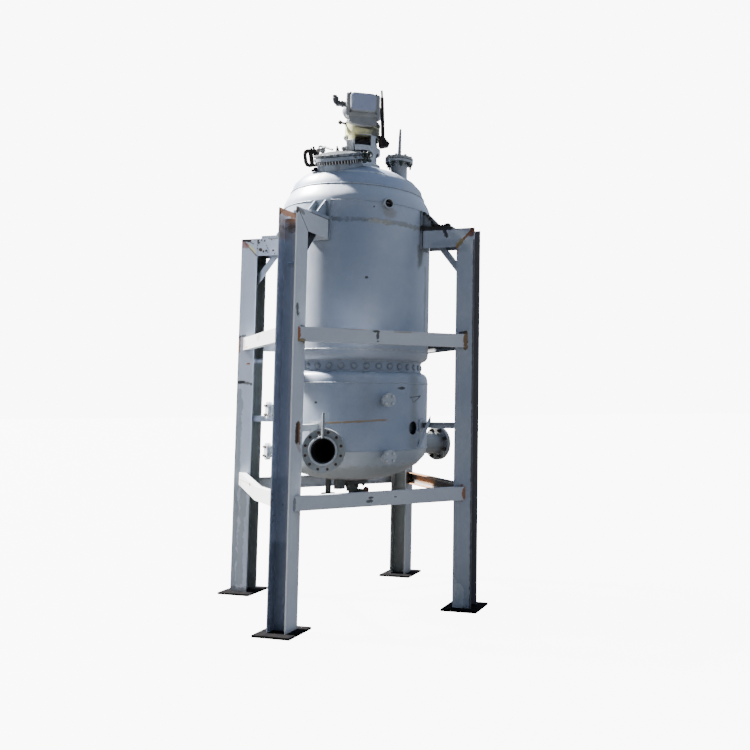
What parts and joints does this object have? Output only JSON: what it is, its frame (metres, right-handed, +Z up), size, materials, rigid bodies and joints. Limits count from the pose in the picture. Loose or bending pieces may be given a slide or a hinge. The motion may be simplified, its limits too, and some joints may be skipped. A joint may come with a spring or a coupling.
{
  "type": "jacketed reactor tank",
  "caption": "Upright jacketed process vessel with domed ends, a top-mounted agitator drive, manway and side nozzles, hung by lugs in a braced steel leg frame.",
  "frame": {"origin": "on the floor under the vessel's axis", "axes": "+Z up along the vessel's axis, +X to the right along the front of the frame, +Y to the rear"},
  "size_m": [1.8102, 1.8102, 4.2405],
  "materials": {
    "agitator_pedestal": "matt blue-grey primer, dusty, rusty at the welds",
    "agitator_shaft": "bare steel, dull",
    "base_plate_front_left": "dull black, dusty",
    "base_plate_front_right": "dull black, dusty",
    "base_plate_rear_left": "dull black, dusty",
    "base_plate_rear_right": "dull black, dusty",
    "bottom_head": "matt blue-grey primer, dusty, rusty at the welds",
    "bottom_stub": "matt blue-grey primer, dusty, rusty at the welds",
    "conduit_elbow": "dull grey",
    "drain_pipe": "matt blue-grey primer, dusty, rusty at the welds",
    "gauge_nozzle_lower": "matt blue-grey primer, dusty, rusty at the welds",
    "gauge_nozzle_upper": "matt blue-grey primer, dusty, rusty at the welds",
    "gear_housing": "cream paint, weathered",
    "inner_bottom": "matt blue-grey primer, dusty, rusty at the welds",
    "inner_knuckle": "matt blue-grey primer, dusty, rusty at the welds",
    "inner_vessel": "matt blue-grey primer, dusty, rusty at the welds",
    "left_nozzle_lower": "matt blue-grey primer, dusty, rusty at the welds",
    "left_nozzle_upper": "matt blue-grey primer, dusty, rusty at the welds",
    "leg_front_left": "matt blue-grey primer, dusty, rusty at the welds",
    "leg_front_right": "matt blue-grey primer, dusty, rusty at the welds",
    "leg_rear_left": "matt blue-grey primer, dusty, rusty at the welds",
    "leg_rear_right": "matt blue-grey primer, dusty, rusty at the welds",
    "low_beam_front": "matt blue-grey primer, dusty, rusty at the welds",
    "low_beam_left": "matt blue-grey primer, dusty, rusty at the welds",
    "low_beam_rear": "matt blue-grey primer, dusty, rusty at the welds",
    "low_beam_right": "matt blue-grey primer, dusty, rusty at the welds",
    "lower_jacket": "matt blue-grey primer, dusty, rusty at the welds",
    "lug_front_left": "matt paint, worn",
    "lug_front_right": "matt paint, worn",
    "lug_rear_left": "matt paint, worn",
    "lug_rear_right": "matt paint, worn",
    "main_nozzle": "matt blue-grey primer, dusty, rusty at the welds",
    "manway_cover": "matt blue-grey primer, dusty, rusty at the welds",
    "manway_neck": "matt blue-grey primer, dusty, rusty at the welds",
    "mid_beam_front": "matt blue-grey primer, dusty, rusty at the welds",
    "mid_beam_left": "matt blue-grey primer, dusty, rusty at the welds",
    "mid_beam_rear": "matt blue-grey primer, dusty, rusty at the welds",
    "mid_beam_right": "matt blue-grey primer, dusty, rusty at the welds",
    "motor": "grey paint, weathered",
    "outlet_nozzle": "matt blue-grey primer, dusty, rusty at the welds",
    "outlet_valve": "dark paint, dull",
    "side_nozzle": "matt blue-grey primer, dusty, rusty at the welds",
    "side_rod": "black, dull",
    "stay_front_left": "matt blue-grey primer, dusty, rusty at the welds",
    "stay_front_right": "matt blue-grey primer, dusty, rusty at the welds",
    "stay_rear_left": "matt blue-grey primer, dusty, rusty at the welds",
    "stay_rear_right": "matt blue-grey primer, dusty, rusty at the welds",
    "terminal_box": "grey paint, weathered",
    "top_head": "matt blue-grey primer, dusty, rusty at the welds",
    "top_nozzle": "matt blue-grey primer, dusty, rusty at the welds",
    "top_nozzle_cover": "matt blue-grey primer, dusty, rusty at the welds",
    "upper_jacket": "matt blue-grey primer, dusty, rusty at the welds",
    "upper_stub": "matt blue-grey primer, dusty, rusty at the welds"
  },
  "bodies": {
    "root": {"agitator_pedestal": "agitator_pedestal", "agitator_shaft": "agitator_shaft", "base_plate_front_left": "base_plate_front_left", "base_plate_front_right": "base_plate_front_right", "base_plate_rear_left": "base_plate_rear_left", "base_plate_rear_right": "base_plate_rear_right", "bottom_head": "bottom_head", "bottom_stub": "bottom_stub", "conduit_elbow": "conduit_elbow", "drain_pipe": "drain_pipe", "gauge_nozzle_lower": "gauge_nozzle_lower", "gauge_nozzle_upper": "gauge_nozzle_upper", "gear_housing": "gear_housing", "inner_bottom": "inner_bottom", "inner_knuckle": "inner_knuckle", "inner_vessel": "inner_vessel", "left_nozzle_lower": "left_nozzle_lower", "left_nozzle_upper": "left_nozzle_upper", "leg_front_left": "leg_front_left", "leg_front_right": "leg_front_right", "leg_rear_left": "leg_rear_left", "leg_rear_right": "leg_rear_right", "low_beam_front": "low_beam_front", "low_beam_left": "low_beam_left", "low_beam_rear": "low_beam_rear", "low_beam_right": "low_beam_right", "lower_jacket": "lower_jacket", "lug_front_left": "lug_front_left", "lug_front_right": "lug_front_right", "lug_rear_left": "lug_rear_left", "lug_rear_right": "lug_rear_right", "main_nozzle": "main_nozzle", "manway_cover": "manway_cover", "manway_neck": "manway_neck", "mid_beam_front": "mid_beam_front", "mid_beam_left": "mid_beam_left", "mid_beam_rear": "mid_beam_rear", "mid_beam_right": "mid_beam_right", "motor": "motor", "outlet_nozzle": "outlet_nozzle", "outlet_valve": "outlet_valve", "side_nozzle": "side_nozzle", "side_rod": "side_rod", "stay_front_left": "stay_front_left", "stay_front_right": "stay_front_right", "stay_rear_left": "stay_rear_left", "stay_rear_right": "stay_rear_right", "terminal_box": "terminal_box", "top_head": "top_head", "top_nozzle": "top_nozzle", "top_nozzle_cover": "top_nozzle_cover", "upper_jacket": "upper_jacket", "upper_stub": "upper_stub"}
  },
  "joints": []
}
